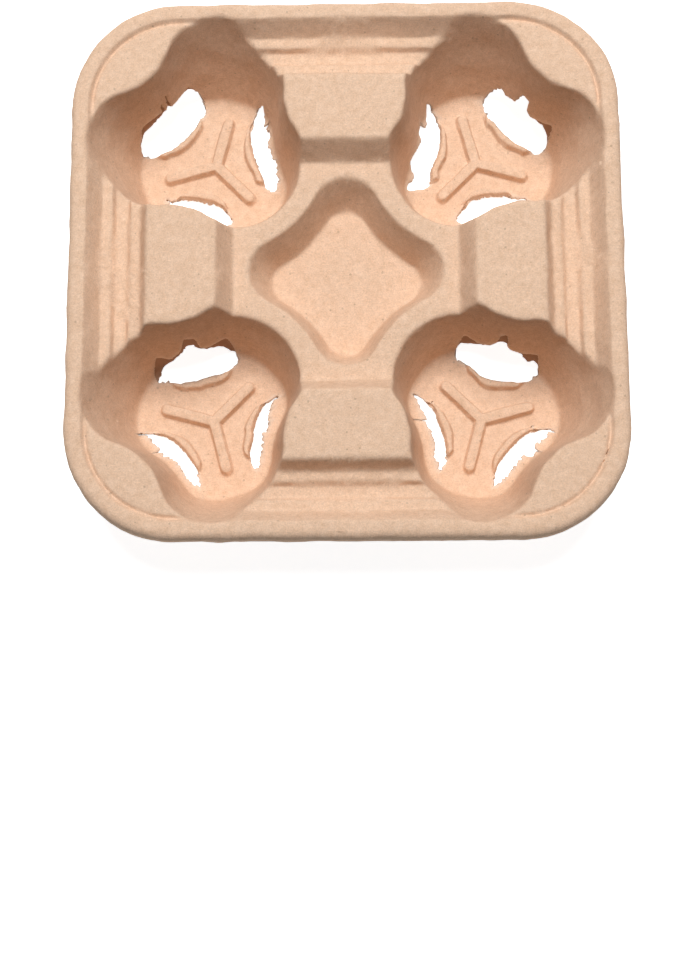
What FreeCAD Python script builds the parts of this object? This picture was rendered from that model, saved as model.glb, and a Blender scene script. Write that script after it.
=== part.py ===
import FreeCAD, Part
import math
import os

# Four-cup carrier of moulded fibre: one pressed sheet with a rolled rim, four cup pockets,
# four side pads, a centre recess and three torn grip openings in each pocket.
# Millimetres, +Z up, origin at the bottom centre. A depth is measured down from the rim crown.

# Overall
OUTER_WIDTH = 216.0
OVERALL_HEIGHT = 45.5
WALL = 1.8

# Rim: crown, drafted pan wall and the skirt turned down outside
CORNER_RADIUS = 43.0
RIM_WIDTH = 7.4
RIM_ROUNDING = 3.3
RIM_INNER_BEVEL = 1.6
SKIRT_DEPTH = 8.0
SKIRT_SPREAD = 1.0
PAN_SPREAD = 6.9

# Levels inside the rim
PLATEAU_DEPTH = 11.4
LEDGE_DEPTH = 8.4
PAD_DEPTH = 0.3
CORNER_PAD_DEPTH = 0.8

# Bands along each side, as distances from the middle of the tray
LEDGE_EDGE = 91.5
GROOVE_OUTER = 90.3
GROOVE_INNER = 85.5
INNER_LEDGE_EDGE = 84.3
RISER_FOOT = 80.3
PAD_OUTER = 77.0
PAD_INNER = 50.3
PAD_FOOT = 44.2
PAD_ROUNDING = 2.5
CORNER_PAD_START = 61.0

# Cup pockets: a drafted round with three flats, and a post that stands before each flat
POCKET_SPACING = 108.0
LOBE_RADIUS = 42.8
POCKET_FLOOR_RADIUS = 29.5
FLAT_OFFSET = 36.2
FLAT_FLOOR_OFFSET = 28.0
POST_OFFSET = 50.0
POST_RADIUS = 19.0
POST_FLOOR_RADIUS = 22.6
FLOOR_BEVEL = 2.4

# Centre recess
RECESS_DEPTH = 28.6
RECESS_REACH = 38.3
RECESS_FLOOR_REACH = 29.9
RECESS_SIDE_RADIUS = 48.0
RECESS_FLOOR_SIDE_RADIUS = 54.5
RECESS_BEVEL = 3.0

# Torn grip openings under the posts
OPENING_RADIUS = 22.5
OPENING_OFFSET = 39.5
OPENING_RISE = 14.5

# Raised ribs on the pocket floors
RIB_HEIGHT = 1.3
RIB_WIDTH = 3.5
RIB_ARM = 22.5
RIB_INNER_ARM = 17.5
ARC_RIB_WIDTH = 2.6
ARC_RIB_GAP = 1.2

# Worked out from the sizes above
CLEAR = 5.0
HALF = OUTER_WIDTH / 2
PAN_HALF = HALF - RIM_WIDTH
POCKET = POCKET_SPACING / 2
POCKET_DEPTH = OVERALL_HEIGHT - WALL
POST_ANGLES = (45, 165, 285)
UP = FreeCAD.Vector(0, 0, 1)
ORIGIN = FreeCAD.Vector(0, 0, 0)


def polar(radius, degrees):
    angle = math.radians(degrees)
    return FreeCAD.Vector(radius * math.cos(angle), radius * math.sin(angle), 0)


def arc(centre, radius, start, end):
    """Arc about a centre from one direction to another, in degrees."""
    points = [centre + polar(radius, a) for a in (start, (start + end) / 2, end)]
    return Part.Arc(*points).toShape()


def at_depth(shape, depth):
    return shape.translated(FreeCAD.Vector(0, 0, OVERALL_HEIGHT - depth))


def edges_at(shape, depth):
    """Edges that lie flat at one depth."""
    z = OVERALL_HEIGHT - depth
    return [e for e in shape.Edges if abs(e.BoundBox.ZMin - z) < 0.01 and abs(e.BoundBox.ZMax - z) < 0.01]


def drafted(top_value, bottom_value, depth, skin):
    """A size that changes evenly with depth, moved out by the skin square to the slope.

    Gives its value above the crown, where cutters start, and at the bottom of the skin.
    """
    slope = (top_value - bottom_value) / depth
    shift = skin * math.hypot(1, slope)
    return top_value + slope * CLEAR + shift, bottom_value - slope * skin + shift


def rounded_square(half, radius):
    """Wire of a square whose corners are arcs."""
    flat = half - radius
    edges = []
    for turn in range(4):
        centre = polar(flat * math.sqrt(2), 45 + 90 * turn)
        following = polar(flat * math.sqrt(2), 135 + 90 * turn)
        edges.append(arc(centre, radius, 90 * turn, 90 * turn + 90))
        side = polar(radius, 90 * turn + 90)
        edges.append(Part.LineSegment(centre + side, following + side).toShape())
    return Part.Wire(edges)


def between_depths(top_wire, top_depth, bottom_wire, bottom_depth):
    """Solid ruled between two like wires."""
    wires = [at_depth(bottom_wire, bottom_depth), at_depth(top_wire, top_depth)]
    return Part.makeLoft(wires, True, True)


def outer_block(skin):
    """Everything under the crown and inside the skirt, which spreads evenly downwards."""
    slope = SKIRT_SPREAD / SKIRT_DEPTH
    drop = OVERALL_HEIGHT + CLEAR - SKIRT_DEPTH
    top = HALF - SKIRT_SPREAD - skin
    low = HALF + slope * drop - skin
    inset = HALF - CORNER_RADIUS
    return between_depths(rounded_square(top, top - inset), skin,
                          rounded_square(low, low - inset), OVERALL_HEIGHT + CLEAR)


def pan(skin):
    """Space inside the rim, down to the plateau."""
    top, low = drafted(PAN_HALF, PAN_HALF - PAN_SPREAD, PLATEAU_DEPTH, skin)
    inset = HALF - CORNER_RADIUS
    return between_depths(rounded_square(top, top - inset), -CLEAR,
                          rounded_square(low, low - inset), PLATEAU_DEPTH + skin)


def drafted_profile(top_value, bottom_value, depth, skin, bevel):
    """Slanted line with a bevel at its foot, from the bottom of the skin to above the crown, as
    (distance, height) points. The skin moves it out and down."""
    top, low = drafted(top_value, bottom_value, depth, skin)
    slope = (top_value - bottom_value) / depth
    foot = OVERALL_HEIGHT - depth - skin
    step = bevel + skin / 3
    return [(low - step, foot), (low + slope * step, foot + step), (top, OVERALL_HEIGHT + CLEAR)]


def drafted_cone(top_radius, bottom_radius, depth, skin, bevel, centre):
    """Upright cone that a profile makes about its axis. Negative radii make a solid core,
    which the skin thins."""
    profile = drafted_profile(top_radius, bottom_radius, depth, skin, bevel)
    corners = [(0, profile[0][1])] + profile + [(0, profile[-1][1])]
    points = [FreeCAD.Vector(abs(radius), 0, z) for radius, z in corners]
    return Part.Face(Part.makePolygon(points + points[:1])).revolve(ORIGIN, UP, 360).translated(centre)


def behind_flat(skin, angle):
    """What lies beyond a pocket's flat: a block whose face leans outwards with height."""
    profile = drafted_profile(FLAT_OFFSET, FLAT_FLOOR_OFFSET, POCKET_DEPTH, skin, FLOOR_BEVEL)
    corners = profile + [(HALF, profile[-1][1]), (HALF, profile[0][1])]
    points = [FreeCAD.Vector(x, -HALF, z) for x, z in corners]
    block = Part.Face(Part.makePolygon(points + points[:1])).extrude(FreeCAD.Vector(0, OUTER_WIDTH, 0))
    return block.rotated(ORIGIN, UP, angle)


def pocket(skin):
    """Cup pocket about its own axis, for the +X +Y corner."""
    shape = drafted_cone(LOBE_RADIUS, POCKET_FLOOR_RADIUS, POCKET_DEPTH, skin, FLOOR_BEVEL, ORIGIN)
    walls = []
    for angle in POST_ANGLES:
        walls.append(behind_flat(skin, angle))
        walls.append(drafted_cone(-POST_RADIUS, -POST_FLOOR_RADIUS, POCKET_DEPTH, skin, FLOOR_BEVEL,
                                  polar(POST_OFFSET, angle)))
    return shape.cut(walls)


def recess(skin):
    """Centre recess: a drafted round whose four sides are cut in by cones about the pocket axes."""
    depth = RECESS_DEPTH - PLATEAU_DEPTH
    reach = RECESS_REACH + (RECESS_REACH - RECESS_FLOOR_REACH) / depth * PLATEAU_DEPTH
    side = RECESS_SIDE_RADIUS - (RECESS_FLOOR_SIDE_RADIUS - RECESS_SIDE_RADIUS) / depth * PLATEAU_DEPTH
    shape = drafted_cone(reach, RECESS_FLOOR_REACH, RECESS_DEPTH, skin, RECESS_BEVEL, ORIGIN)
    return shape.cut([drafted_cone(-side, -RECESS_FLOOR_SIDE_RADIUS, RECESS_DEPTH, skin, RECESS_BEVEL,
                                   polar(POCKET * math.sqrt(2), 45 + 90 * turn)) for turn in range(4)])


def band(profile, skin, roundings):
    """Raised band along the +X side: a profile of (distance, depth) points, thinned by the skin."""
    points = [FreeCAD.Vector(x, -HALF, OVERALL_HEIGHT - depth) for x, depth in profile]
    wire = Part.makePolygon(points + points[:1])
    if skin:
        wire = wire.makeOffset2D(-skin, 2)
    shape = Part.Face(wire).extrude(FreeCAD.Vector(0, OUTER_WIDTH, 0))
    for depth, rounding in roundings:
        shape = shape.makeFillet(rounding, edges_at(shape, depth + skin))
    return shape


def raised_forms(skin):
    """Pads, ledges and corner pads that stand above the plateau, before the pockets are cut."""
    base = PLATEAU_DEPTH + 2 * CLEAR
    pad_slope = (PAD_INNER - PAD_FOOT) / PLATEAU_DEPTH
    foot_step = GROOVE_INNER - INNER_LEDGE_EDGE
    pad = [(PAD_INNER - pad_slope * base, base), (PAD_INNER, PAD_DEPTH), (PAD_OUTER, PAD_DEPTH),
           (RISER_FOOT, LEDGE_DEPTH), (INNER_LEDGE_EDGE, LEDGE_DEPTH),
           (GROOVE_INNER + foot_step, PLATEAU_DEPTH + (PLATEAU_DEPTH - LEDGE_DEPTH)),
           (GROOVE_INNER + foot_step, base)]
    edge_step = LEDGE_EDGE - GROOVE_OUTER
    ledge = [(LEDGE_EDGE, LEDGE_DEPTH), (HALF, LEDGE_DEPTH), (HALF, base),
             (GROOVE_OUTER - edge_step, base),
             (GROOVE_OUTER - edge_step, PLATEAU_DEPTH + (PLATEAU_DEPTH - LEDGE_DEPTH))]
    forms = [band(pad, skin, [(PAD_DEPTH, PAD_ROUNDING)]), band(ledge, skin, [])]
    start = CORNER_PAD_START + skin
    low = FreeCAD.Vector(start, start, OVERALL_HEIGHT - base - CORNER_PAD_DEPTH - skin)
    forms.append(Part.makeBox(HALF - start, HALF - start, base, low))
    return [f.rotated(ORIGIN, UP, 90 * turn) for f in forms for turn in range(4)]


def rim_edges(shape, depth, inner):
    """The crown's edges on the pan side or on the skirt side."""
    middle = HALF - RIM_WIDTH / 2
    return [e for e in edges_at(shape, depth) if (e.BoundBox.XMax < middle and e.BoundBox.YMax < middle
            and e.BoundBox.XMin > -middle and e.BoundBox.YMin > -middle) == inner]


def die(skin, surroundings=None):
    """Everything under the sheet, or under its lower face where the skin is the wall."""
    space = pan(skin)
    body = outer_block(skin).cut(space)
    if skin:
        body = body.makeChamfer(RIM_ROUNDING - skin, rim_edges(body, skin, False))
    else:
        body = body.makeFillet(RIM_ROUNDING, rim_edges(body, skin, False))
        body = body.makeChamfer(RIM_INNER_BEVEL, rim_edges(body, skin, True))
    if surroundings:
        body = body.fuse(surroundings.cut(space))
    body = body.fuse([form.common(space) for form in raised_forms(skin)])
    cutters = [recess(skin)]
    for turn in range(4):
        place = pocket(skin).translated(FreeCAD.Vector(POCKET, POCKET, 0))
        cutters.append(place.rotated(ORIGIN, UP, 90 * turn))
    return body.cut(cutters)


def opening(angle):
    """Cutter for one grip opening about a pocket's axis."""
    centre = polar(OPENING_OFFSET, angle)
    return Part.makeCylinder(OPENING_RADIUS, OPENING_RISE + WALL + CLEAR, centre - UP * CLEAR)


def floor_ribs():
    """Raised three-armed rib and the curved rib beside each opening, about a pocket's axis."""
    base = UP * (WALL / 2)
    height = RIB_HEIGHT + WALL / 2
    ribs = []
    for angle in POST_ANGLES:
        reach = RIB_INNER_ARM if angle == POST_ANGLES[0] else RIB_ARM
        arm = Part.makeBox(reach, RIB_WIDTH, height, base - FreeCAD.Vector(0, RIB_WIDTH / 2, 0))
        tip = Part.makeCylinder(RIB_WIDTH / 2, height, base + FreeCAD.Vector(reach, 0, 0))
        ribs += [shape.rotated(ORIGIN, UP, angle + 180) for shape in (arm, tip)]
        centre = polar(OPENING_OFFSET, angle)
        inside = OPENING_RADIUS + ARC_RIB_GAP
        ring = Part.makeCylinder(inside + ARC_RIB_WIDTH, height, centre + base)
        ribs.append(ring.cut(Part.makeCylinder(inside, height, centre + base)))
    floor_disc = Part.makeCylinder(POCKET_FLOOR_RADIUS - FLOOR_BEVEL, OVERALL_HEIGHT)
    return [shape.common(floor_disc) for shape in ribs]


def moulded_tray():
    """The sheet between its two faces, with ribs added and openings torn out."""
    below_skirt = Part.makeBox(3 * HALF, 3 * HALF, OVERALL_HEIGHT - SKIRT_DEPTH + 2 * CLEAR,
                               FreeCAD.Vector(-1.5 * HALF, -1.5 * HALF, -2 * CLEAR))
    sheet = die(0).cut(die(WALL, below_skirt))
    centre = FreeCAD.Vector(POCKET, POCKET, 0)
    ribs = []
    openings = []
    for turn in range(4):
        ribs += [r.translated(centre).rotated(ORIGIN, UP, 90 * turn) for r in floor_ribs()]
        for angle in POST_ANGLES:
            openings.append(opening(angle).translated(centre).rotated(ORIGIN, UP, 90 * turn))
    return sheet.fuse(ribs).cut(openings).removeSplitter()


if __name__ == "__main__":
    os.makedirs("parts", exist_ok=True)
    tray = moulded_tray()
    tray.Solids[0].exportStep("parts/moulded_tray.step")
    print("moulded_tray", tray.isValid(), len(tray.Solids), round(tray.Volume), "mm3")
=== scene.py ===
import math

import bpy
import numpy as np
from mathutils import Matrix, Vector


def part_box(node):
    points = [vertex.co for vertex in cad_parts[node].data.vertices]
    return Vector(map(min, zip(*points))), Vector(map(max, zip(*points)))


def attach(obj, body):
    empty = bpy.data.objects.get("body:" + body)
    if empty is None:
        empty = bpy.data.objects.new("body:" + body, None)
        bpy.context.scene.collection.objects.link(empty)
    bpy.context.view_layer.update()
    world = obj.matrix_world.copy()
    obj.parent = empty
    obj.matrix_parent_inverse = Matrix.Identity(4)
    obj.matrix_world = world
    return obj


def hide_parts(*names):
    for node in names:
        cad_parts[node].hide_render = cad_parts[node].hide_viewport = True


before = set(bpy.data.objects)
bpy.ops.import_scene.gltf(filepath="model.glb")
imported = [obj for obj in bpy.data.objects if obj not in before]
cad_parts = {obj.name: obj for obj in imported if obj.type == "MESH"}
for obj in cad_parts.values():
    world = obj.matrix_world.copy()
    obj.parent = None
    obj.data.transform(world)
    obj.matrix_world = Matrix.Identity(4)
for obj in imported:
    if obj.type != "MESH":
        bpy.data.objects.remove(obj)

bl_info = {
    "name": "Moulded Fibre Cup Carrier",
    "version": (1, 0, 0),
    "blender": (4, 5, 0),
    "location": "View3D > Sidebar > Carrier",
    "description": "Builds the pressed sheet of a four-cup carrier with its torn edges and pulp finish",
    "category": "Add Mesh",
}

# The sheet is worked out in millimetres, with heights measured from the rim crown, and is
# scaled and lifted into the frame at the end.
CAD_LOW, CAD_HIGH = (np.array(corner) * 1000 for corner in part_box("moulded_tray"))
MM = 0.001

# Measures of the mould
CORNER_RADIUS = 43.0
CROWN_INSET = 4.0
RIM_WIDTH = 7.4
SKIRT_DROP = 8.0
POCKET_AXIS = 54.0
POST_ANGLES = (45, 165, 285)
FOOT_ROUNDING, TOP_ROUNDING, FORM_ROUNDING = 2.0, 1.7, 0.3
RECESS_MOUTH = (48.0, 38.3)
RECESS_FLOOR = (54.5, 29.9)
RECESS_DEPTH = 28.6
PLATEAU_DEPTH = 11.4
OPENING_RADIUS, OPENING_OFFSET = 22.5, 39.5
OPENING_TOP, FLOOR_REACH = -35.0, 28.5
PAD_HEIGHT, PAD_EDGE, PAD_FALL = -0.8, 58.5, 3.5
GROOVE_PLACE, GROOVE_WIDTH, GROOVE_DEPTH = 8.5, 0.8, 1.9

# Distance from a pocket's axis to its wall at the crown, as (turn from the outer post, reach),
# and at the floor, as (turn from the nearest post, reach)
TOP_OUTLINE = ((0, 32.3), (10, 33.2), (17.5, 36.2), (25, 41.0), (31, 43.8), (38, 46.2), (46, 47.3),
               (60, 47.3), (72, 44.5), (82, 42.6), (92, 39.2), (102, 36.1), (110, 33.2), (120, 32.3),
               (130, 33.2), (138, 36.1), (146, 38.7), (156, 40.8), (168, 42.4), (180, 43.4))
FLOOR_OUTLINE = ((0, 25.5), (10, 26.1), (20, 28.2), (30, 30.4), (40, 31.3), (60, 31.3))

# Section of one side as (distance inwards from the outline, height)
SIDE_SECTION = ((0, 0), (7.4, 0), (12.6, -8.4), (16.5, -8.4), (17.7, -11.2), (22.5, -11.2),
                (23.7, -8.3), (27.7, -8.3), (31.0, -0.3), (57.7, -0.3), (63.8, -11.4), (110, -11.4))

# Rows of the grid along each ray from a pocket's axis
FLOOR_ROWS, WALL_ROWS, OUTER_ROWS = 44, 14, 116
RAYS_PER_SPAN = 100
RIM_ROWS = 18
SECTION_STEPS = 3000
SOFTENING, LOWER_SOFTENING, TORN_SOFTENING = 2, 3, 2

# Rim bead and skirt, whose spread is a share of SKIRT_SPREAD and wanders by another
RIM_BEAD, BEAD_START, BEAD_ROWS = 3.3, 84, 8
SKIRT_SPREAD, SPREAD_SHARE, SPREAD_WANDER = 0.35, 0.5, 0.4
SKIRT_WANDER = 0.35

# Ribs on the pocket floors: three arms, shifted along y, and an arc beside each opening
RIB_ARM, RIB_WIDTH, RIB_SOFTNESS = 19.8, 4.6, 1.3
ARC_RIB_PLACE, ARC_RIB_WIDTH = 2.1, 3.2
BACK_SHIFT, FRONT_SHIFT = 1.4, 0.3

# Torn edges: how far the rows below and above an opening move with its edge, the turn in
# which that fades out at its two ends, how ragged the two edges are, as (height, knots over
# twice RAGGED_TURN), how deep the skin is torn off and over what run, and where the lip
# above it is and how wide
ROWS_BELOW, ROWS_ABOVE, END_FADE = 22, 50, 9
FLOOR_RAGGED, WALL_RAGGED, RAGGED_TURN = (0.12, 70), (0.3, 55), 46
TORN_STEP, TORN_RUN = 1.1, 0.5
LIP_PLACE, LIP_WIDTH = 0.5, 0.7
FRAY, FRAY_WANDER, FRAY_PITCH = 0.25, 0.3, (0.8, 3)

# Unevenness of the sheet and of its thickness, as (height, shortest and longest wave)
UNEVEN = ((0.11, 9, 30), (0.035, 2.5, 6))
WALL_UNEVEN = (0.06, 6, 20)
SEED = 7

# The photo's camera
PICTURE_HEIGHT_PX = 959
CAMERA_FOCAL_PX = 1500
CAMERA_TURN = (-0.175875, -0.012342, 0.007592)
CAMERA_PLACE = (4.06, -183.15, 596.84)

# The torn openings, for the pockets counter-clockwise from back right and their posts in the
# order of POST_ANGLES. Each is its floor side and its wall side as (turn from the post in
# degrees, length along the surface from the pocket's axis). A third line is where the inner
# skin of the wall is torn off, above the opening
BACK_RIGHT = (
    (((-33, 26.5), (-31, 25), (-25, 23.3), (-17, 21), (-9, 19.6), (3, 19.3), (12, 20), (20, 21.5),
      (30, 23), (35, 25.5), (38, 29)),
     ((-33, 27), (-29, 30.5), (-25, 33), (-22, 35.5), (-17, 37.5), (-7, 37.3), (-2, 39), (-1, 44.5),
      (6, 45.3), (9, 43), (12, 39), (15, 38), (22, 37.6), (26, 40), (31, 36.5), (35, 32.5), (38, 29.5)),
     ((-33, 27), (-29, 31), (-26, 36), (-23.5, 44), (-18, 41), (-11, 39), (-7, 38), (-2, 39.5),
      (-0.5, 46), (6, 47), (9, 43.5), (12, 39), (21, 38), (24, 39.5), (26, 40), (31, 37), (35, 33),
      (38, 29.5))),
    (((-42, 31), (-40, 26.5), (-35, 22.5), (-27, 19.5), (-17, 17.5), (-3, 16.8), (10, 17.8), (19, 19),
      (28, 19.5), (35, 20.3), (38, 22)),
     ((-42, 31.5), (-40, 37), (-37, 38), (-34, 31), (-30, 28.5), (-26.5, 28.2), (-24.8, 35),
      (-23, 29.5), (-19, 28.5), (-16, 26), (-10, 25.5), (-1, 26.8), (6, 29), (11, 30.5), (13, 28),
      (17, 26), (23, 26), (27, 28.5), (33, 30), (36, 25), (38, 22.3))),
    (((-37, 23), (-35, 20), (-31, 17), (-23, 14.5), (-13, 13.7), (0, 13.5), (11, 14.2), (21, 15.8),
      (29, 17.2), (37, 20), (43, 24.5)),
     ((-37, 23.5), (-30, 25), (-15, 24), (0, 25), (15, 24), (30, 25), (40, 26), (43, 25))),
)
BACK_LEFT = (
    (((-35, 26.5), (-30, 24.5), (-20, 21.3), (-8, 19.9), (2, 19.5), (13, 20.3), (21, 21.8), (26, 24),
      (30, 25.5), (33, 28), (34, 31)),
     ((-35, 27), (-34, 32), (-33, 35), (-30, 38.5), (-26, 41), (-20, 40), (-7, 39), (-5, 41.5),
      (-3, 42.5), (-2, 40), (8, 38.8), (22, 38), (26, 36), (30, 34), (33, 30.5), (34, 30)),
     ((-35, 27), (-34, 32), (-33, 36), (-28, 41), (-26, 43), (-22, 42), (-15, 41), (-7, 40.5),
      (-5.5, 50), (-4, 43), (-1, 40.5), (1.2, 48), (3, 42), (8, 43), (20, 44), (22, 43), (25, 39),
      (30, 35.5), (34, 31.3))),
    (((-45, 24), (-40, 22), (-32, 18.8), (-23, 16.5), (-13, 15.3), (0, 14.8), (10, 14.8), (18, 15.8),
      (26, 17.5), (31, 19.5), (33, 21.5)),
     ((-45, 24.5), (-38, 25), (-20, 24), (0, 25), (15, 24), (25, 25), (31, 23.5), (33, 21.8))),
    (((-38, 24), (-35, 21.5), (-27, 20), (-20, 19), (-13, 17.8), (-5, 17.2), (5, 16.8), (15, 17.3),
      (25, 18.8), (33, 21.3), (38, 24.5), (42, 28.5), (43, 31)),
     ((-38, 24.5), (-36, 26), (-30, 26.5), (-22, 26.2), (-20, 25), (-10, 25), (-2, 24.5), (10, 24.2),
      (16, 24.6), (19, 27), (24, 28.3), (27, 27.5), (28.5, 33), (30, 28), (33, 30), (36, 33), (38, 37),
      (40, 36.5), (43, 31.3))),
)
FRONT_LEFT = (
    (((-38, 29), (-37, 26), (-34, 23), (-29, 20.5), (-22, 18.2), (-13, 17), (0, 16.7), (8, 17.3),
      (18, 18.5), (26, 20.5), (30, 22.5), (34, 26)),
     ((-38, 29.5), (-37, 34), (-35, 29), (-33, 28), (-27, 26), (-20, 24.2), (-18.5, 28), (-17, 24.8),
      (-12, 24.5), (-5, 22.6), (0, 22.3), (8, 22.8), (15, 24), (22, 25.5), (28, 26.8), (32, 27),
      (34, 26.2))),
    (((-35, 26), (-33, 22), (-25, 19), (-15, 17.8), (-5, 17.2), (5, 16.2), (15, 16.8), (23, 17.8),
      (30, 19.5), (36, 21.5), (39, 23.5), (40, 27)),
     ((-35, 26.2), (-33, 26), (-28, 25), (-22, 23.8), (-15, 22.3), (-5, 21), (0, 20.3), (4, 20.3),
      (5.5, 21.8), (15, 22), (24, 22.3), (30, 23.8), (35, 25.5), (38, 28.5), (40, 27.5))),
    (((-35, 27.5), (-34, 25), (-30, 22.8), (-24, 20.8), (-15, 19.8), (-5, 19.3), (8, 19), (16, 20.2),
      (24, 21.5), (30, 24), (34, 26.5), (38, 28.5)),
     ((-35, 28), (-31, 30), (-27, 30.5), (-24, 32), (-20, 34.3), (-13, 35), (-6, 36.5), (-4, 38),
      (-1, 42), (5, 42.3), (9, 39), (13, 35.5), (18, 32.8), (25, 31.8), (29, 30.2), (34, 28.8),
      (38, 28.6)),
     ((-35, 28), (-31, 31), (-29, 35), (-26, 42), (-24.5, 43), (-20, 40.5), (-13, 38), (-6, 39),
      (-4.5, 44), (-3.5, 50), (4, 52), (6, 49), (9, 43), (13, 39), (18, 37), (21, 37), (25, 41),
      (27.5, 43.5), (30, 40), (34, 34), (38, 29))),
)
FRONT_RIGHT = (
    (((-37, 27.5), (-34, 24), (-30, 21), (-25, 19), (-20, 18), (-12, 17), (-2, 16.4), (8, 16.5),
      (18, 17.2), (27, 18.8), (34, 21.5), (38, 25), (39, 28)),
     ((-37, 28), (-35, 27.5), (-31, 27), (-25, 25.5), (-15, 24), (-8, 23), (0, 22.3), (5, 22.3),
      (7, 24), (10, 25), (15.5, 25), (16.8, 29), (18, 24.2), (22, 24.3), (27, 26), (33, 28), (36, 30),
      (39, 28.5))),
    (((-37, 28.5), (-35, 25.5), (-30, 22.5), (-20, 20), (-10, 18.3), (0, 17.7), (8, 18), (15, 19),
      (20, 21), (25, 23.5), (30, 25), (35, 27.5)),
     ((-37, 29), (-34, 30.5), (-30, 34.3), (-27, 34.5), (-23, 32), (-20, 34), (-15, 36.3), (-10, 38),
      (-6, 41), (-1, 43.3), (4, 41), (7, 38), (12, 36), (17, 35), (25, 34.6), (29, 35), (31, 33),
      (34, 29), (35, 28)),
     ((-37, 29), (-33, 33), (-30, 38), (-28, 42.5), (-26, 42), (-21, 39), (-17, 38), (-12, 38.5),
      (-8, 39), (-5, 42), (-4, 48), (-2, 52), (2, 50), (4, 43), (8, 39.5), (14, 38), (19, 38.5),
      (22, 40.5), (26, 43.5), (28, 43), (30, 38), (32, 34), (35, 28))),
    (((-39, 28), (-38, 25), (-35, 22.5), (-28, 19.3), (-20, 18), (-10, 16.8), (0, 16.4), (10, 16.5),
      (20, 17.8), (28, 19.5), (34, 21), (37, 23.5)),
     ((-39, 29), (-38, 30), (-35, 28), (-32, 26.5), (-27, 24.5), (-22, 22.5), (-18, 22), (-17, 26),
      (-16, 22.5), (-10, 22.2), (-7, 22), (-5, 20.5), (0, 20.5), (8, 21), (15, 22), (20, 23.8),
      (28, 24.5), (32, 26.2), (36, 26.3), (37, 24))),
)
TORN_OPENINGS = (BACK_RIGHT, BACK_LEFT, FRONT_LEFT, FRONT_RIGHT)

# Fineness of the pulp's patterns, in features a metre: fibre clumps 2.6 mm wide, grain of
# 0.6 mm, fibres 3.3 mm long and 0.3 mm thick, and one place for a speck in each 1.6 mm.
# Real fibres are thinner than this, and are drawn as coarse as they need to be to show.
CLUMPS, GRAIN, FIBRES, SPECKS = 380.0, 1700.0, (300, 3200, 3200), 620.0

# Stage, in metres and watts
FLOOR_SIDE, FLOOR_GLOW, SKY_STRENGTH = 3.0, 0.88, 0.06
LAMP_SIZE, LAMP_POWER, LAMP_PLACE = 0.8, 25.8, (0.0, 0.48, 1.5)
SENSOR_MM = 36.0


def square_inset(x, y, half, corner):
    """Distance inwards from a rounded square: the distance to the corner arc's centre square,
    less the corner radius, with its sign turned."""
    a = np.abs(x) - (half - corner)
    b = np.abs(y) - (half - corner)
    outside = np.hypot(np.maximum(a, 0), np.maximum(b, 0))
    return corner - outside - np.minimum(np.maximum(a, b), 0)


def diamond_reach(angle, side_radius, reach):
    """Distance from the tray's centre to the recess outline in one direction.

    The tips are arcs on the axes and the sides are arcs about the pocket axes, tangent to
    them; a ray meets each arc where the usual quadratic says."""
    total = side_radius + reach
    tip = (total ** 2 - 2 * POCKET_AXIS ** 2) / (2 * (total - POCKET_AXIS))
    tip_radius = reach - tip
    fold = np.abs((angle + math.pi / 4) % (math.pi / 2) - math.pi / 4)
    towards = np.array([POCKET_AXIS - tip, POCKET_AXIS])
    join = np.array([tip, 0]) + tip_radius * (towards / math.hypot(*towards))
    join_angle = math.atan2(join[1], join[0])
    on_tip = tip * np.cos(fold) + np.sqrt(np.maximum(tip_radius ** 2 - (tip * np.sin(fold)) ** 2, 0))
    along = POCKET_AXIS * (np.cos(fold) + np.sin(fold))
    on_side = along - np.sqrt(np.maximum(side_radius ** 2 - 2 * POCKET_AXIS ** 2 + along ** 2, 0))
    return np.where(fold < join_angle, on_tip, on_side)


def mould_height(x, y, half):
    """Height of the mould outside the pockets: the side section carried round the rounded
    square, raised to the corner pads with their groove, a bell curve of the inset, and
    lowered into the recess, whose wall rises evenly from its floor's outline to its mouth."""
    inset = square_inset(x, y, half, CORNER_RADIUS)
    section = np.array(SIDE_SECTION)
    height = np.interp(inset, section[:, 0], section[:, 1])
    corner = np.minimum(np.abs(x), np.abs(y))
    pad = PAD_HEIGHT - PAD_FALL * np.maximum(PAD_EDGE - corner, 0)
    pad = pad - GROOVE_DEPTH * np.exp(-((inset - GROOVE_PLACE) / GROOVE_WIDTH) ** 2)
    height = np.where(inset > RIM_WIDTH, np.maximum(height, pad), height)
    angle, radius = np.arctan2(y, x), np.hypot(x, y)
    mouth, floor = (diamond_reach(angle, *size) for size in (RECESS_MOUTH, RECESS_FLOOR))
    rise = (RECESS_DEPTH - PLATEAU_DEPTH) * np.maximum((radius - floor) / (mouth - floor), 0)
    return np.minimum(height, rise - RECESS_DEPTH)


def smooth_curve(knots, at):
    """Smooth curve through knots: cubic Hermite pieces h(t) = v0 (1+2t)(1-t)^2 + v1 t^2 (3-2t)
    + step (m0 t (1-t)^2 - m1 t^2 (1-t)), level at both ends."""
    place, value = np.array(knots, float).T
    slope = np.gradient(value, place)
    slope[[0, -1]] = 0
    k = np.clip(np.searchsorted(place, at, side="right") - 1, 0, len(place) - 2)
    step = place[k + 1] - place[k]
    t = (at - place[k]) / step
    return (value[k] * (1 + 2 * t) * (1 - t) ** 2 + value[k + 1] * t * t * (3 - 2 * t)
            + step * (slope[k] * t * (1 - t) ** 2 - slope[k + 1] * t * t * (1 - t)))


def pocket_wall(angle):
    """Reach of a pocket's straight wall at the floor and at the crown, for every ray."""
    turn = np.degrees(angle)
    fold = np.abs((turn - POST_ANGLES[0] + 180) % 360 - 180)
    off = np.abs((turn - POST_ANGLES[0] + 60) % 120 - 60)
    return smooth_curve(FLOOR_OUTLINE, off), smooth_curve(TOP_OUTLINE, fold)


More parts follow.
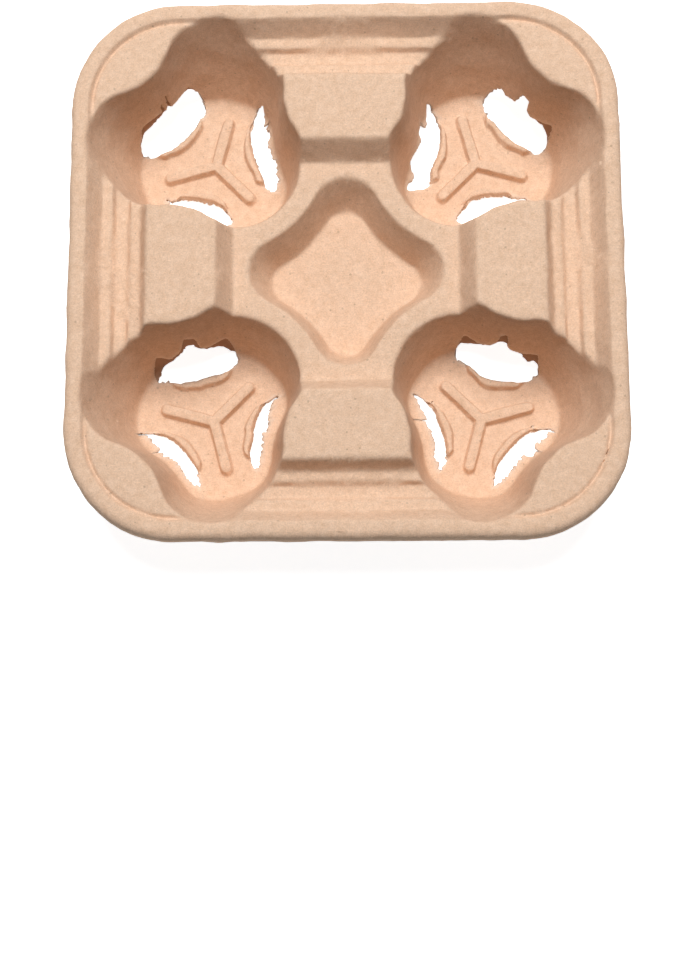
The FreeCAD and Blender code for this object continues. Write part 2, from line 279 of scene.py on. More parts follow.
def rounded_section(r, z, foot, top):
    """The polyline (r, z) with its corners rounded, as (length, r, z).

    Each point is the mean of the line over a window of length +-h about it. h is
    FORM_ROUNDING, and rises to the larger roundings within twice their size of the wall's
    foot and top."""
    length = np.concatenate([[0], np.cumsum(np.hypot(np.diff(r), np.diff(z)))])
    h = np.full(len(r), FORM_ROUNDING)
    for corner, size in ((foot, FOOT_ROUNDING), (top, TOP_ROUNDING)):
        h = np.maximum(h, size * np.clip(2 - np.abs(length - length[corner]) / size, 0, 1))
    h = np.minimum(h, np.minimum(length, length[-1] - length) + 1e-6)
    means = []
    for line in (r, z):
        area = np.concatenate([[0], np.cumsum((line[1:] + line[:-1]) / 2 * np.diff(length))])
        means.append((np.interp(length + h, length, area) - np.interp(length - h, length, area)) / (2 * h))
    means = [np.where(h < 1e-3, line, mean) for line, mean in zip((r, z), means)]
    return length, *means


def ray_angles(half):
    """Directions of the rays: even steps between those that reach the quadrant's corners."""
    low = math.atan2(-POCKET_AXIS, half - POCKET_AXIS)
    breaks = (low, math.pi / 4, math.pi / 2 - low, 1.25 * math.pi, low + 2 * math.pi)
    spans = [np.linspace(a, b, RAYS_PER_SPAN, endpoint=False) for a, b in zip(breaks, breaks[1:])]
    return np.concatenate(spans)


def ray_ends(angle, half, corner):
    """Distance from the pocket's axis to the edge of the quadrant: the two middle planes and
    the rounded square at the crown."""
    c, s = np.cos(angle), np.sin(angle)
    with np.errstate(divide="ignore"):
        sides = [(half - POCKET_AXIS) / np.maximum(c, 1e-9), (half - POCKET_AXIS) / np.maximum(s, 1e-9),
                 POCKET_AXIS / np.maximum(-c, 1e-9), POCKET_AXIS / np.maximum(-s, 1e-9)]
    reach = np.min(sides, axis=0)
    off = half - corner - POCKET_AXIS
    along = off * (c + s)
    arc = along + np.sqrt(np.maximum(corner ** 2 - 2 * off ** 2 + along ** 2, 0))
    in_corner = (arc * c > off) & (arc * s > off)
    return np.where(in_corner, arc, reach)


def floor_edge(angle):
    """Distance from the axis to the floor side of the openings: circles centred under the
    posts, and the floor's own edge between them."""
    off = np.radians(np.abs((np.degrees(angle) - POST_ANGLES[0] + 60) % 120 - 60))
    inside = OPENING_RADIUS ** 2 - (OPENING_OFFSET * np.sin(off)) ** 2
    edge = OPENING_OFFSET * np.cos(off) - np.sqrt(np.maximum(inside, 0))
    return np.where(inside > 0, np.minimum(edge, FLOOR_REACH), FLOOR_REACH)


def quadrant_grid(half, depth):
    """Points of one quadrant as rays by rows.

    Each ray's section is the lower of the pocket wall and the mould. Its rows are even
    shares of the section's length between three marks: the openings' floor side, their
    upper side and the end of the ray."""
    angles = ray_angles(half - CROWN_INSET)
    ends = ray_ends(angles, half - CROWN_INSET, CORNER_RADIUS - CROWN_INSET)
    foot, top = pocket_wall(angles)
    marks = floor_edge(angles)
    grid = np.empty((len(angles), FLOOR_ROWS + WALL_ROWS + OUTER_ROWS, 3))
    for i, angle in enumerate(angles):
        r = np.linspace(0, ends[i], SECTION_STEPS)
        x, y = POCKET_AXIS + r * math.cos(angle), POCKET_AXIS + r * math.sin(angle)
        wall = depth * (np.maximum(r - foot[i], 0) / (top[i] - foot[i]) - 1)
        mould = mould_height(x, y, half)
        corners = np.argmax(r > foot[i]), np.argmax(wall > mould)
        length, r, z = rounded_section(r, np.minimum(wall, mould), *corners)
        first = np.interp(marks[i], r, length)
        second = length[np.argmax(z > OPENING_TOP)]
        rows = np.concatenate([np.linspace(0, first, FLOOR_ROWS, endpoint=False),
                               np.linspace(first, second, WALL_ROWS, endpoint=False),
                               np.linspace(second, length[-1], OUTER_ROWS)])
        at = np.interp(rows, length, r)
        grid[i] = np.stack([POCKET_AXIS + at * math.cos(angle), POCKET_AXIS + at * math.sin(angle),
                            np.interp(rows, length, z)], axis=1)
    return angles, grid


def turned(points, quarter):
    """Points turned about the tray's centre by quarter turns."""
    c, s = ((1, 0), (0, 1), (-1, 0), (0, -1))[quarter]
    x, y = points[..., 0], points[..., 1]
    return np.stack([c * x - s * y, s * x + c * y, points[..., 2]], axis=-1)


def grid_quads(rays, rows, offset):
    """Corner indices of the cells of a grid that closes on itself along the rays."""
    i, j = np.meshgrid(np.arange(rays), np.arange(rows - 1), indexing="ij")
    k = (i + 1) % rays
    return offset + np.stack([i * rows + j, i * rows + j + 1, k * rows + j + 1, k * rows + j], axis=-1)


def rim_strip(ring, rng):
    """Points of the crown's outer half and the skirt: one profile carried round the ring of
    points on the crown, square to the rounded square that they lie on. The skirt's length
    and spread wander a little, as its edge is torn from the mould's flash."""
    flat = CAD_HIGH[0] - CORNER_RADIUS
    out = ring[:, :2] - np.clip(ring[:, :2], -flat, flat)
    out /= np.linalg.norm(out, axis=1, keepdims=True)
    bend = np.linspace(math.radians(BEAD_START), 0, BEAD_ROWS)
    drop = np.linspace(0, 1, RIM_ROWS - BEAD_ROWS)[1:]
    wander = np.clip(waves(ring, rng, 6, 40), -1, 1)
    spread = SKIRT_SPREAD * (SPREAD_SHARE + SPREAD_WANDER * wander)
    length = SKIRT_DROP - RIM_BEAD + SKIRT_WANDER * waves(ring, rng, 4, 25)
    bead = np.broadcast_to(np.concatenate([[0], RIM_BEAD * np.cos(bend)]), (len(ring), BEAD_ROWS + 1))
    away = np.concatenate([bead, RIM_BEAD + spread[:, None] * drop], axis=1)
    bead = np.broadcast_to(np.concatenate([[0], RIM_BEAD * (np.sin(bend) - 1)]), bead.shape)
    down = np.concatenate([bead, -RIM_BEAD - length[:, None] * drop], axis=1)
    points = np.empty((len(ring), RIM_ROWS, 3))
    points[..., :2] = ring[:, None, :2] + out[:, None, :] * away[..., None]
    points[..., 2] = ring[:, None, 2] + down
    return points


def turn_from_post(angle, post_angle):
    """Signed turn from a post's direction, in degrees."""
    return (np.degrees(angle) - post_angle + 180) % 360 - 180


def ragged(off, rng, height, knots):
    """Wander of a torn edge: straight lines between random values at even turns."""
    return np.interp(off, np.linspace(-RAGGED_TURN, RAGGED_TURN, knots), rng.normal(0, height, knots))


def tear(angles, grid, lengths, outlines, rng):
    """Moves the rows beside each opening to its torn outline.

    A ray's points are read again from its own polyline at shifted rows. The shift is full
    at the opening's two edges and fades out over the rows next to them. Where the wall's
    skin is torn off it is stepped back by TORN_STEP. Gives the moved grid, with how much
    of the skin is gone and the skin's raised lip as two more channels, and a mask of the
    cells that are gone."""
    first, second = FLOOR_ROWS, FLOOR_ROWS + WALL_ROWS
    rows = np.arange(grid.shape[1], dtype=float)
    marks = [0, first - ROWS_BELOW, first, second, second + ROWS_ABOVE, rows[-1]]
    moved = np.concatenate([grid, np.zeros((*grid.shape[:2], 2))], axis=-1)
    gone = np.zeros((len(angles), len(rows) - 1), bool)
    for post_angle, sides in zip(POST_ANGLES, outlines):
        off = turn_from_post(angles, post_angle)
        start, end = sides[0][0][0], sides[0][-1][0]
        inside = np.flatnonzero((off > start) & (off < end))
        inside = inside[np.argsort(off[inside])]
        near, far, crease = (np.interp(off, *np.array(side).T) for side in (*sides, sides[-1])[:3])
        near = near + ragged(off, rng, *FLOOR_RAGGED)
        far = far + ragged(off, rng, *WALL_RAGGED)
        share = np.clip(1 - np.maximum(start - off, off - end) / END_FADE, 0, 1)
        has_skin = len(sides) > 2
        for i in np.flatnonzero(share > 0):
            lower, upper = np.interp([near[i], far[i]], lengths[i], rows)
            lower = share[i] * lower + (1 - share[i]) * first
            upper = max(share[i] * upper + (1 - share[i]) * second, lower + 0.4)
            at = np.interp(rows, marks, [0, marks[1], lower, upper, marks[4], rows[-1]])
            for channel in range(grid.shape[2]):
                moved[i, :, channel] = np.interp(at, rows, grid[i, :, channel])
            past = crease[i] - np.interp(at, rows, lengths[i])
            skin = share[i] * np.clip(past / TORN_RUN, 0, 1) * (rows >= second) * has_skin
            lip = np.exp(-((past + LIP_PLACE) / LIP_WIDTH) ** 2) * share[i] * has_skin
            moved[i, :, :2] += TORN_STEP * skin[:, None] * (math.cos(angles[i]), math.sin(angles[i]))
            moved[i, :, -2:] = np.maximum(moved[i, :, -2:], np.stack([skin, lip], axis=-1))
        gone[inside[:-1], first:second] = True
    return moved, gone


def face_edges(faces):
    """The sides of every face as pairs of corners, each in its face's own direction."""
    return np.concatenate([faces[:, [k, (k + 1) % faces.shape[1]]] for k in range(faces.shape[1])])


def soften(values, points, edges, passes, held=None):
    """Even spreading of values over a mesh: each pass moves a vertex towards the mean of its
    neighbours, weighted by one over the square of their distance."""
    a, b = edges[:, 0], edges[:, 1]
    gap = np.maximum(np.sum((points[a] - points[b]) ** 2, axis=1), 0.02)
    weight = 1 / gap
    total = np.bincount(a, weight, len(values)) + np.bincount(b, weight, len(values))
    values = values.copy()
    for _ in range(passes):
        new = np.empty_like(values)
        for c in range(values.shape[1]):
            new[:, c] = (np.bincount(a, weight * values[b, c], len(values))
                         + np.bincount(b, weight * values[a, c], len(values))) / total
        if held is not None:
            new[held] = values[held]
        values += new - values
    return values


def vertex_normals(points, triangles):
    """Area-weighted mean of the face normals round each vertex."""
    a, b, c = (points[triangles[:, k]] for k in range(3))
    cross = np.cross(b - a, c - a)
    normal = np.stack([sum(np.bincount(triangles[:, k], cross[:, axis], len(points)) for k in range(3))
                       for axis in range(3)], axis=1)
    return normal / np.maximum(np.linalg.norm(normal, axis=1, keepdims=True), 1e-9)


def waves(points, rng, shortest, longest, count=40):
    """Smooth random unevenness of about unit size: the sum of plane waves in random
    directions, with wavelengths between two lengths in millimetres."""
    direction = rng.normal(size=(count, 3))
    direction /= np.linalg.norm(direction, axis=1, keepdims=True)
    pitch = rng.uniform(shortest, longest, count)
    phase = rng.uniform(0, 2 * math.pi, count)
    total = np.zeros(len(points))
    for d, p, f in zip(direction, pitch, phase):
        total += np.sin(points @ d * (2 * math.pi / p) + f)
    return total / math.sqrt(count / 2)


def rib_share(x, y, shift, outlines):
    """Height of the raised ribs on a pocket floor, from 0 to 1, about its axis: one where a
    point is nearer than half a rib's width to an arm or to the arc beside an opening's
    floor side, with sides t^2 (3-2t). The arms' middle lies off the axis by the shift."""
    away = np.full(x.shape, 100.0)
    reach, angle = np.hypot(x, y), np.arctan2(y, x)
    for post_angle in POST_ANGLES:
        turn = math.radians(post_angle + 180)
        u, v = x - shift[0], y - shift[1]
        along = np.clip(u * math.cos(turn) + v * math.sin(turn), 0, RIB_ARM)
        arm = np.hypot(u - along * math.cos(turn), v - along * math.sin(turn))
        away = np.minimum(away, arm - RIB_WIDTH / 2)
    for post_angle, sides in zip(POST_ANGLES, outlines):
        off = turn_from_post(angle, post_angle)
        inner = np.array(sides[0]).T
        beside = np.abs(np.interp(off, *inner) - reach - ARC_RIB_PLACE) - ARC_RIB_WIDTH / 2
        ends = np.maximum(inner[0, 1] + 2 - off, off - inner[0, -2] + 2) * 0.4
        away = np.minimum(away, np.maximum(beside, ends))
    share = np.clip(0.5 - away / RIB_SOFTNESS, 0, 1)
    return share * share * (3 - 2 * share)


def add_ribs(points, depth, height):
    """Raises the ribs on the four pocket floors, fading out with height above the floor."""
    on_floor = np.clip((-depth + 3 - points[:, 2]) / 2, 0, 1)
    for q, (sx, sy) in enumerate(((1, 1), (-1, 1), (-1, -1), (1, -1))):
        here = np.flatnonzero((points[:, 0] * sx > 0) & (points[:, 1] * sy > 0) & (on_floor > 0))
        local = turned(points[here] - (sx * POCKET_AXIS, sy * POCKET_AXIS, 0), (4 - q) % 4)
        shift = turned(np.array([0, BACK_SHIFT if sy > 0 else FRONT_SHIFT, 0]), (4 - q) % 4)
        share = rib_share(local[:, 0], local[:, 1], shift, TORN_OPENINGS[q])
        points[here, 2] += height * share * on_floor[here]


def pressed_sheet(wall, rib_height, rng):
    """The upper face of the whole sheet as (vertices, quads), in millimetres from the crown.

    Four turned copies of the quadrant and the rim strip are joined, softened and given
    ribs and unevenness, and the openings are torn out. A vertex holds its place, its
    normal, and how far it is torn skin and lip."""
    half = CAD_HIGH[0]
    depth = CAD_HIGH[2] - CAD_LOW[2] - wall
    angles, grid = quadrant_grid(half, depth)
    rays, rows = grid.shape[:2]
    quarter = rays * rows
    sheets = [turned(grid, q) for q in range(4)]
    ring = np.concatenate([sheet[:2 * RAYS_PER_SPAN, -1] for sheet in sheets])
    strip = rim_strip(ring, rng)
    quads = [grid_quads(rays, rows, q * quarter).reshape(-1, 4) for q in range(4)]
    quads.append(grid_quads(len(ring), RIM_ROWS, 4 * quarter).reshape(-1, 4))
    stacked = np.concatenate([sheet.reshape(-1, 3) for sheet in sheets] + [strip.reshape(-1, 3)])

    # Points of neighbouring pieces that fall together are joined. The small offset keeps
    # round values off the edge of rounding
    _, first, weld = np.unique(np.round(stacked + 0.000137, 3), axis=0,
                               return_index=True, return_inverse=True)
    weld = weld.ravel()
    points = stacked[first]
    whole = weld[np.concatenate(quads)]
    points = soften(points, points, mesh_edges(whole), SOFTENING)
    add_ribs(points, depth, rib_height)

    # The slight unevenness of pressed pulp
    normal = vertex_normals(points, split_quads(whole))
    uneven = sum(height * waves(points, rng, *pitch) for height, *pitch in UNEVEN)
    points += normal * uneven[:, None]
    points[:, 2] = np.clip(points[:, 2], CAD_LOW[2] - CAD_HIGH[2], 0)

    # Torn openings, each quadrant turned to the first one's place and back
    fields = np.concatenate([points, normal, np.zeros((len(points), 2))], axis=1)[weld]
    steps = np.linalg.norm(np.diff(grid, axis=1), axis=2)
    lengths = np.concatenate([np.zeros((rays, 1)), np.cumsum(steps, axis=1)], axis=1)
    kept = []
    for q in range(4):
        span = slice(q * quarter, (q + 1) * quarter)
        block = fields[span].reshape(rays, rows, 8)
        block = turned_pair(block, (4 - q) % 4)
        block, gone = tear(angles, block, lengths, TORN_OPENINGS[q], rng)
        fields[span] = np.concatenate([turned_pair(block, q), block[..., 6:]], axis=-1).reshape(-1, 8)
        kept.append(quads[q].reshape(rays, rows - 1, 4)[~gone])
    kept.append(quads[4])
    upper = np.empty((len(points), 8))
    upper[weld] = fields
    used, faces = np.unique(weld[np.concatenate(kept)], return_inverse=True)
    return upper[used], faces.reshape(-1, 4)


def turned_pair(block, quarter):
    """The place and the normal of each point turned by quarter turns, as six channels."""
    return np.concatenate([turned(block[..., :3], quarter), turned(block[..., 3:6], quarter)], axis=-1)


def mesh_edges(faces):
    """Each edge of the faces once, without those that a weld has closed up."""
    edges = np.unique(np.sort(face_edges(faces), axis=1), axis=0)
    return edges[edges[:, 0] != edges[:, 1]]


def split_quads(quads):
    """Two triangles for each quad."""
    return np.concatenate([quads[:, [0, 1, 2]], quads[:, [0, 2, 3]]])


def close_sheet(upper, faces, wall, rng):
    """The closed sheet as (points, triangles, fields).

    The lower face is the upper one moved along its normals by the wall, then softened.
    Each torn edge is closed by a strip with two middle rings, pushed out and roughened."""
    count = len(upper)
    points, normal, skin, lip = upper[:, :3], upper[:, 3:6], upper[:, 6], upper[:, 7]
    normal = normal / np.linalg.norm(normal, axis=1, keepdims=True)
    edges = mesh_edges(faces)
    directed = face_edges(faces)
    directed = directed[directed[:, 0] != directed[:, 1]]
    back = directed[:, 1] * count + directed[:, 0]
    border = directed[~np.isin(directed[:, 0] * count + directed[:, 1], back)]
    rim = np.unique(border)
    share, *pitch = WALL_UNEVEN
    thickness = wall * (1 + share * waves(points, rng, *pitch))
    lower = points - normal * thickness[:, None]
    lower = soften(lower, points, edges, LOWER_SOFTENING, held=rim)
    lower[:, 2] = np.clip(lower[:, 2], CAD_LOW[2] - CAD_HIGH[2], 0)

    outward = np.zeros((count, 3))
    across = np.cross(points[border[:, 1]] - points[border[:, 0]], normal[border[:, 0]])
    for end in range(2):
        np.add.at(outward, border[:, end], across)
    outward = outward[rim] / np.maximum(np.linalg.norm(outward[rim], axis=1, keepdims=True), 1e-9)
    rings = [points[rim] * (1 - k) + lower[rim] * k for k in (0.33, 0.67)]
    rings = [r + outward * (FRAY + FRAY_WANDER * waves(r, rng, *FRAY_PITCH))[:, None] for r in rings]
    place = np.full(count, -1)
    place[rim] = np.arange(len(rim))
    ladder = [border, *(2 * count + k * len(rim) + place[border] for k in range(2)), border + count]
    strips = [np.stack([a[:, 1], a[:, 0], b[:, 0], b[:, 1]], axis=1) for a, b in zip(ladder, ladder[1:])]
    triangles = split_quads(np.concatenate([faces, faces[:, ::-1] + count, *strips]))
    a, b, c = triangles.T
    triangles = triangles[(a != b) & (b != c) & (a != c)]

    torn = np.zeros((count, 1))
    torn[rim] = 1
    torn = soften(torn, points, edges, TORN_SOFTENING, held=rim)[:, 0]
    torn = np.minimum(torn * 1.2, 1) * (1 - skin)
    fields = {"torn": np.concatenate([np.maximum(torn, lip), np.maximum(torn, 0.4), np.ones(2 * len(rim))]),
              "skin": np.concatenate([skin, 0 * skin, *[0.5 * skin[rim]] * 2])}
    return np.concatenate([points, lower, *rings]), triangles, fields


def mesh_from(name, points, faces):
    """A mesh in metres from points in millimetres below the crown and equal-sided faces."""
    mesh = bpy.data.meshes.new(name)
    lifted = (points + np.array([0, 0, CAD_HIGH[2]])) * MM
    mesh.vertices.add(len(lifted))
    mesh.vertices.foreach_set("co", lifted.ravel())
    sides = faces.shape[1]
    mesh.loops.add(faces.size)
    mesh.loops.foreach_set("vertex_index", faces.ravel().astype(np.int32))
    mesh.polygons.add(len(faces))
    mesh.polygons.foreach_set("loop_start", np.arange(0, faces.size, sides, dtype=np.int32))
    mesh.update(calc_edges=True)
    mesh.validate()
    return mesh


def thinned(obj, limit):
    """The object with its mesh reduced to a number of triangles, keeping its form."""
    share = limit / len(obj.data.polygons)
    if share < 1:
        reduce = obj.modifiers.new("thin", "DECIMATE")
        reduce.ratio = share
        depsgraph = bpy.context.evaluated_depsgraph_get()
        reduced = bpy.data.meshes.new_from_object(obj.evaluated_get(depsgraph))
        obj.modifiers.clear()
        obj.data = reduced
        # Thinning moves points by a hundredth of a millimetre, so they are brought back
        place = np.empty(3 * len(reduced.vertices), np.float32)
        reduced.vertices.foreach_get("co", place)
        place = np.clip(place.reshape(-1, 3), (CAD_LOW + 0.01) * MM, (CAD_HIGH - 0.01) * MM)
        reduced.vertices.foreach_set("co", place.astype(np.float32).ravel())
        reduced.update()
    return obj


def srgb(text):
    """Linear colour of an sRGB hex string."""
    parts = [int(text[k:k + 2], 16) / 255 for k in (1, 3, 5)]
    return [c / 12.92 if c <= 0.04045 else ((c + 0.055) / 1.055) ** 2.4 for c in parts] + [1.0]


def node(tree, kind, settings=None, **links):
    """Adds a node, sets its properties or sockets, and links its inputs by name."""
    new = tree.nodes.new(kind)
    for key, value in (settings or {}).items():
        if isinstance(key, int):
            new.inputs[key].default_value = value
        elif hasattr(new, key):
            setattr(new, key, value)
        else:
            new.inputs[key].default_value = value
    for key, source in links.items():
        tree.links.new(source, new.inputs[int(key[1:])] if key[0] == "_" else new.inputs[key])
    return new


def moulded_pulp(light, dark, torn_edge, shaded_bare_layer):
    """Unbleached moulded pulp: matt, mottled by fibre clumps a few millimetres wide, with
    single dark and pale fibres and a fine felted grain. Torn edges are pale and rough, and
    the layer under a torn skin is painted darker, as painted shade for the shadow it lies in."""
    material = bpy.data.materials.new("moulded_pulp")
    material.use_nodes = True
    tree = material.node_tree
    tree.nodes.clear()
    place = node(tree, "ShaderNodeTexCoord").outputs["Object"]
    output = node(tree, "ShaderNodeOutputMaterial")
    # Paper pulp pressed on a mesh and dried: no gloss, so a high roughness and weak reflection
    shader = node(tree, "ShaderNodeBsdfPrincipled", {"Roughness": 0.92, "Specular IOR Level": 0.2})
    tree.links.new(shader.outputs[0], output.inputs[0])
    torn = node(tree, "ShaderNodeAttribute", {"attribute_name": "torn"}).outputs["Fac"]
    clumps = node(tree, "ShaderNodeTexNoise", {"Scale": CLUMPS, "Detail": 6.0, "Roughness": 0.65},
                  Vector=place)
    ramp = node(tree, "ShaderNodeValToRGB", Fac=clumps.outputs["Fac"])
    ramp.color_ramp.elements[0].position = 0.3
    ramp.color_ramp.elements[0].color = dark
    ramp.color_ramp.elements[1].position = 0.7
    ramp.color_ramp.elements[1].color = light

    # Grain, long pale fibres and small dark specks as one factor on the colour
    grain = node(tree, "ShaderNodeTexNoise", {"Scale": GRAIN, "Detail": 2.0, "Roughness": 0.6},
                 Vector=place)
    factor = node(tree, "ShaderNodeMath", {"operation": "MULTIPLY_ADD", 1: 0.55, 2: 0.725},
                  _0=grain.outputs["Fac"])
    for spin in ((0.4, 0.2, 0.9), (0.1, 1.1, -0.7)):
        along = node(tree, "ShaderNodeMapping", {"Rotation": spin, "Scale": FIBRES}, Vector=place)
        fibre = node(tree, "ShaderNodeTexNoise", {"Scale": 1.0, "Detail": 1.0}, Vector=along.outputs[0])
        over = node(tree, "ShaderNodeMapRange", {1: 0.62, 2: 0.74, 3: 0.0, 4: 0.09},
                    Value=fibre.outputs["Fac"])
        factor = node(tree, "ShaderNodeMath", {"operation": "ADD"},
                      _0=factor.outputs[0], _1=over.outputs[0])
    cells = node(tree, "ShaderNodeTexVoronoi", {"Scale": SPECKS}, Vector=place)
    chosen = node(tree, "ShaderNodeSeparateColor", _0=cells.outputs["Color"])
    rare = node(tree, "ShaderNodeMapRange", {1: 0.93, 2: 0.99, 3: 0.0, 4: 0.3}, Value=chosen.outputs[0])
    spot = node(tree, "ShaderNodeMath", {"operation": "LESS_THAN"},
                _0=cells.outputs["Distance"], _1=rare.outputs[0])
    factor = node(tree, "ShaderNodeMath", {"operation": "MULTIPLY_ADD", 1: -0.22},
                  _0=spot.outputs[0], _2=factor.outputs[0])
    tinted = node(tree, "ShaderNodeVectorMath", {"operation": "SCALE"},
                  _0=ramp.outputs["Color"], Scale=factor.outputs[0])

    # Torn edges, and the bare layer under a torn skin darkened as painted shade
    share = node(tree, "ShaderNodeMath", {"operation": "MULTIPLY", 1: 0.7}, _0=torn)
    frayed = node(tree, "ShaderNodeMix", {"data_type": "RGBA", 7: torn_edge},
                  _0=share.outputs[0], _6=tinted.outputs[0])
    # Painted shade: where the skin is torn off, the colour goes to the darker bare-layer colour, standing
    # in for the shade that the stepped-back layer lies in
    skin = node(tree, "ShaderNodeAttribute", {"attribute_name": "skin"}).outputs["Fac"]
    shaded_layer_mix = node(tree, "ShaderNodeMix", {"data_type": "RGBA", 7: shaded_bare_layer},
                _0=skin, _6=frayed.outputs[2])
    tree.links.new(shaded_layer_mix.outputs[2], shader.inputs["Base Color"])
    depth = node(tree, "ShaderNodeMath", {"operation": "MULTIPLY_ADD", 1: 0.5, 2: 0.3}, _0=torn)
    bump = node(tree, "ShaderNodeBump", {"Distance": 0.0004},
                Height=grain.outputs["Fac"], Strength=depth.outputs[0])
    tree.links.new(bump.outputs["Normal"], shader.inputs["Normal"])
    return material


def seen_directly(tree):
    """One for a ray from the camera or by way of gloss or glass, and zero for the rest."""
    path = node(tree, "ShaderNodeLightPath")
    either = node(tree, "ShaderNodeMath", {"operation": "MAXIMUM"},
                  _0=path.outputs["Is Camera Ray"], _1=path.outputs["Is Glossy Ray"])
    either = node(tree, "ShaderNodeMath", {"operation": "MAXIMUM"},
                  _0=either.outputs[0], _1=path.outputs["Is Transmission Ray"])
    return either.outputs[0]


def white_floor():
    """Matt white floor that the camera sees as white, with the carrier's shadow kept."""
    material = bpy.data.materials.new("white_floor")
    material.use_nodes = True
    tree = material.node_tree
    tree.nodes.clear()
    out = node(tree, "ShaderNodeOutputMaterial")
    matt = node(tree, "ShaderNodeBsdfDiffuse", {"Color": srgb("#F2F2F2")})
    glow = node(tree, "ShaderNodeEmission", {"Strength": FLOOR_GLOW})
    both = node(tree, "ShaderNodeAddShader", _0=matt.outputs[0], _1=glow.outputs[0])
    mix = node(tree, "ShaderNodeMixShader", _0=seen_directly(tree), _1=matt.outputs[0], _2=both.outputs[0])
    tree.links.new(mix.outputs[0], out.inputs[0])
    return material


def studio_world():
    """A weak, slightly cool sky that the camera sees as white."""
    world = bpy.data.worlds.new("studio")
    world.use_nodes = True
    tree = world.node_tree
    tree.nodes.clear()
    out = node(tree, "ShaderNodeOutputWorld")
    sky = node(tree, "ShaderNodeBackground", {"Color": srgb("#E6F0FF"), "Strength": SKY_STRENGTH})
    plain = node(tree, "ShaderNodeBackground", {"Color": srgb("#FFFFFF"), "Strength": 1.0})
    mix = node(tree, "ShaderNodeMixShader", _0=seen_directly(tree), _1=sky.outputs[0], _2=plain.outputs[0])
    tree.links.new(mix.outputs[0], out.inputs[0])
    return world


class CARRIER_PG_settings(bpy.types.PropertyGroup):
    """Sizes and colours of the carrier"""
    wall: bpy.props.FloatProperty(
        name="Wall", description="Thickness of the pressed sheet",
        default=0.0018, min=0.001, max=0.003, precision=4, unit="LENGTH")
    rib_height: bpy.props.FloatProperty(
        name="Rib height", description="Height of the ribs on the pocket floors",
        default=0.0032, min=0.0, max=0.005, precision=4, unit="LENGTH")
    triangles: bpy.props.IntProperty(
        name="Triangles", description="Most triangles in the finished sheet",
        default=196000, min=20000, max=199000)
    light: bpy.props.FloatVectorProperty(
        name="Light fibres", description="Pale colour of the pulp",
        subtype="COLOR", size=4, min=0.0, max=1.0, default=srgb("#E9C8AD"))
    dark: bpy.props.FloatVectorProperty(
        name="Dark fibres", description="Darker colour of the pulp",
        subtype="COLOR", size=4, min=0.0, max=1.0, default=srgb("#DAB698"))
    torn_edge: bpy.props.FloatVectorProperty(
        name="Torn edge", description="Colour of the loose fibres along a tear",
        subtype="COLOR", size=4, min=0.0, max=1.0, default=srgb("#F2DCC8"))
    # Painted shade: a darker colour for the stepped-back layer where the skin is torn off, standing in for
    # the shade it lies in
    shaded_bare_layer: bpy.props.FloatVectorProperty(
        name="Bare layer", description="Colour of the sheet where its skin is torn off",
        subtype="COLOR", size=4, min=0.0, max=1.0, default=srgb("#B28D73"))


class CARRIER_OT_sheet(bpy.types.Operator):
    """Build the pressed sheet of the carrier"""
    bl_idname = "carrier.sheet"
    bl_label = "Pressed sheet"

    def execute(self, context):
        chosen = context.scene.carrier
        wall, rib_height = (round(size / MM, 3) for size in (chosen.wall, chosen.rib_height))
        rng = np.random.default_rng(SEED)
        upper, faces = pressed_sheet(wall, rib_height, rng)
        points, triangles, fields = close_sheet(upper, faces, wall, rng)
        mesh = mesh_from("pressed_sheet", points, triangles)
        for name, values in fields.items():
            mesh.attributes.new(name, "FLOAT", "POINT").data.foreach_set("value", values.astype(np.float32))
        sheet = bpy.data.objects.new("pressed_sheet", mesh)
        context.collection.objects.link(sheet)
        thinned(sheet, chosen.triangles)
        sheet.data.shade_smooth()
        sheet.data.materials.append(
            moulded_pulp(chosen.light, chosen.dark, chosen.torn_edge, chosen.shaded_bare_layer))
        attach(sheet, "root")
        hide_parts("moulded_tray")
        return {"FINISHED"}


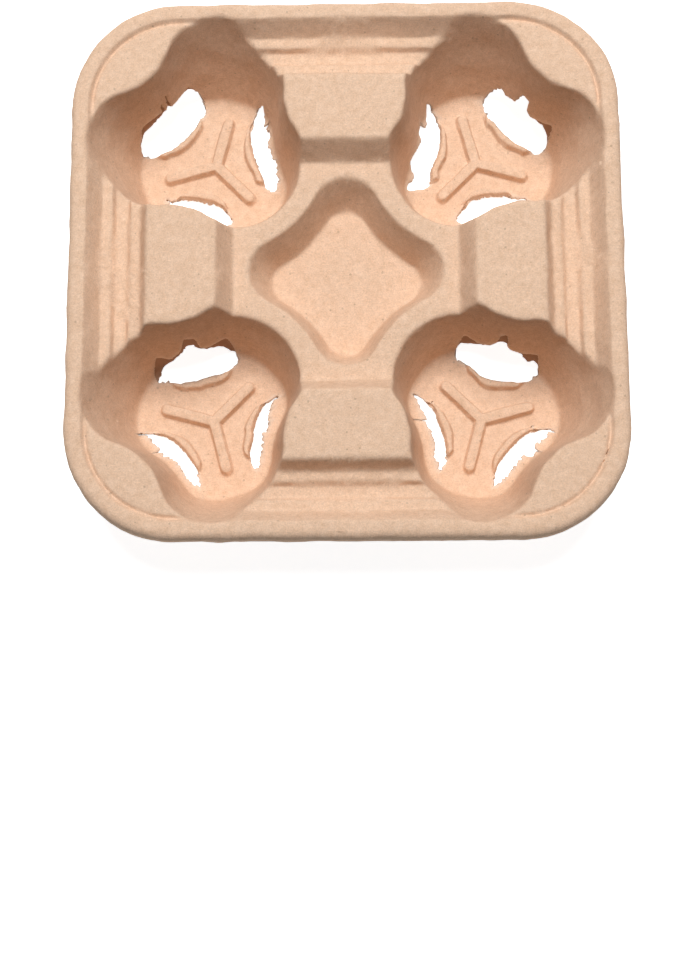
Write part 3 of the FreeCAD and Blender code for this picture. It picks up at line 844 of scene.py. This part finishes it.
class CARRIER_OT_stage(bpy.types.Operator):
    """Build the floor, the light and the camera"""
    bl_idname = "carrier.stage"
    bl_label = "Stage"

    def execute(self, context):
        scene, add = context.scene, context.collection.objects.link
        side = FLOOR_SIDE
        mesh = bpy.data.meshes.new("floor")
        mesh.from_pydata([(-side, -side, 0), (side, -side, 0), (side, side, 0), (-side, side, 0)],
                         [], [(0, 1, 2, 3)])
        mesh.materials.append(white_floor())
        floor = bpy.data.objects.new("floor", mesh)
        add(floor)
        scene.world = studio_world()

        light = bpy.data.lights.new("key", "AREA")
        light.shape = "DISK"
        light.size = LAMP_SIZE
        light.energy = LAMP_POWER
        lamp = bpy.data.objects.new("key", light)
        add(lamp)
        lamp.location = LAMP_PLACE
        lamp.rotation_euler = (-Vector(lamp.location)).to_track_quat("-Z", "Y").to_euler()

        camera = bpy.data.cameras.new("camera")
        camera.sensor_width = SENSOR_MM
        camera.lens = SENSOR_MM * CAMERA_FOCAL_PX / PICTURE_HEIGHT_PX
        eye = bpy.data.objects.new("camera", camera)
        add(eye)
        x, y, z = (Matrix.Rotation(-turn, 3, axis) for turn, axis in zip(CAMERA_TURN, "XYZ"))
        eye.location = [c * MM for c in CAMERA_PLACE]
        eye.rotation_euler = (x @ y @ z).to_euler()
        scene.camera = eye
        scene.view_settings.view_transform = "Standard"
        return {"FINISHED"}


class CARRIER_PT_panel(bpy.types.Panel):
    """Lists the carrier's settings and pieces"""
    bl_idname = "CARRIER_PT_panel"
    bl_label = "Cup carrier"
    bl_space_type = "VIEW_3D"
    bl_region_type = "UI"
    bl_category = "Carrier"

    def draw(self, context):
        column = self.layout.column()
        for name in CARRIER_PG_settings.__annotations__:
            column.prop(context.scene.carrier, name)
        column.operator(CARRIER_OT_sheet.bl_idname)
        column.operator(CARRIER_OT_stage.bl_idname)


CLASSES = (CARRIER_PG_settings, CARRIER_OT_sheet, CARRIER_OT_stage, CARRIER_PT_panel)


def register():
    for cls in CLASSES:
        bpy.utils.register_class(cls)
    bpy.types.Scene.carrier = bpy.props.PointerProperty(type=CARRIER_PG_settings)


def unregister():
    del bpy.types.Scene.carrier
    for cls in reversed(CLASSES):
        bpy.utils.unregister_class(cls)


def main():
    """Builds the carrier and its stage."""
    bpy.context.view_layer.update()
    register()
    bpy.ops.carrier.sheet()
    bpy.ops.carrier.stage()


if __name__ == "__main__":
    main()
